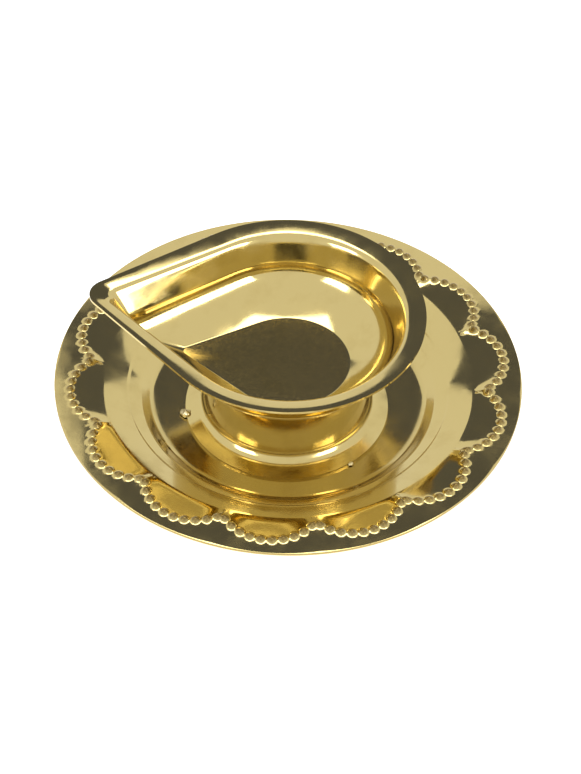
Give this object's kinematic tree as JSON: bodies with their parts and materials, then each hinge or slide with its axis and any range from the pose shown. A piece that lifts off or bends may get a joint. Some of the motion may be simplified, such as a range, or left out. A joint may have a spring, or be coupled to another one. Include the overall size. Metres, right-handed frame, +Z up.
{
  "type": "diya oil lamp",
  "caption": "Brass diya: a teardrop oil bowl with a flat lip on a short tubular stand, soldered into the well of a round plate with a beaded scalloped brim.",
  "frame": {"origin": "centre of the plate's flat underside, on the surface the lamp stands on", "axes": "+Z up; the bowl's spout points along -X; +Y completes a right-handed frame"},
  "size_m": [0.13, 0.13, 0.0368],
  "materials": {
    "plate_brass": "pressed sheet, mirror polished and lacquered",
    "stand_brass": "spun tube, mirror polished with faint turning lines",
    "bowl_brass": "pressed sheet, mirror polished, satin floor",
    "solder": "soft solder, dull and pale"
  },
  "bodies": {
    "root": {"plate": "plate_brass", "stand": "stand_brass", "bowl": "bowl_brass", "bowl_solder_ring": "solder", "foot_solder_tack_1": "solder", "foot_solder_tack_2": "solder", "foot_solder_tack_3": "solder"}
  },
  "joints": []
}
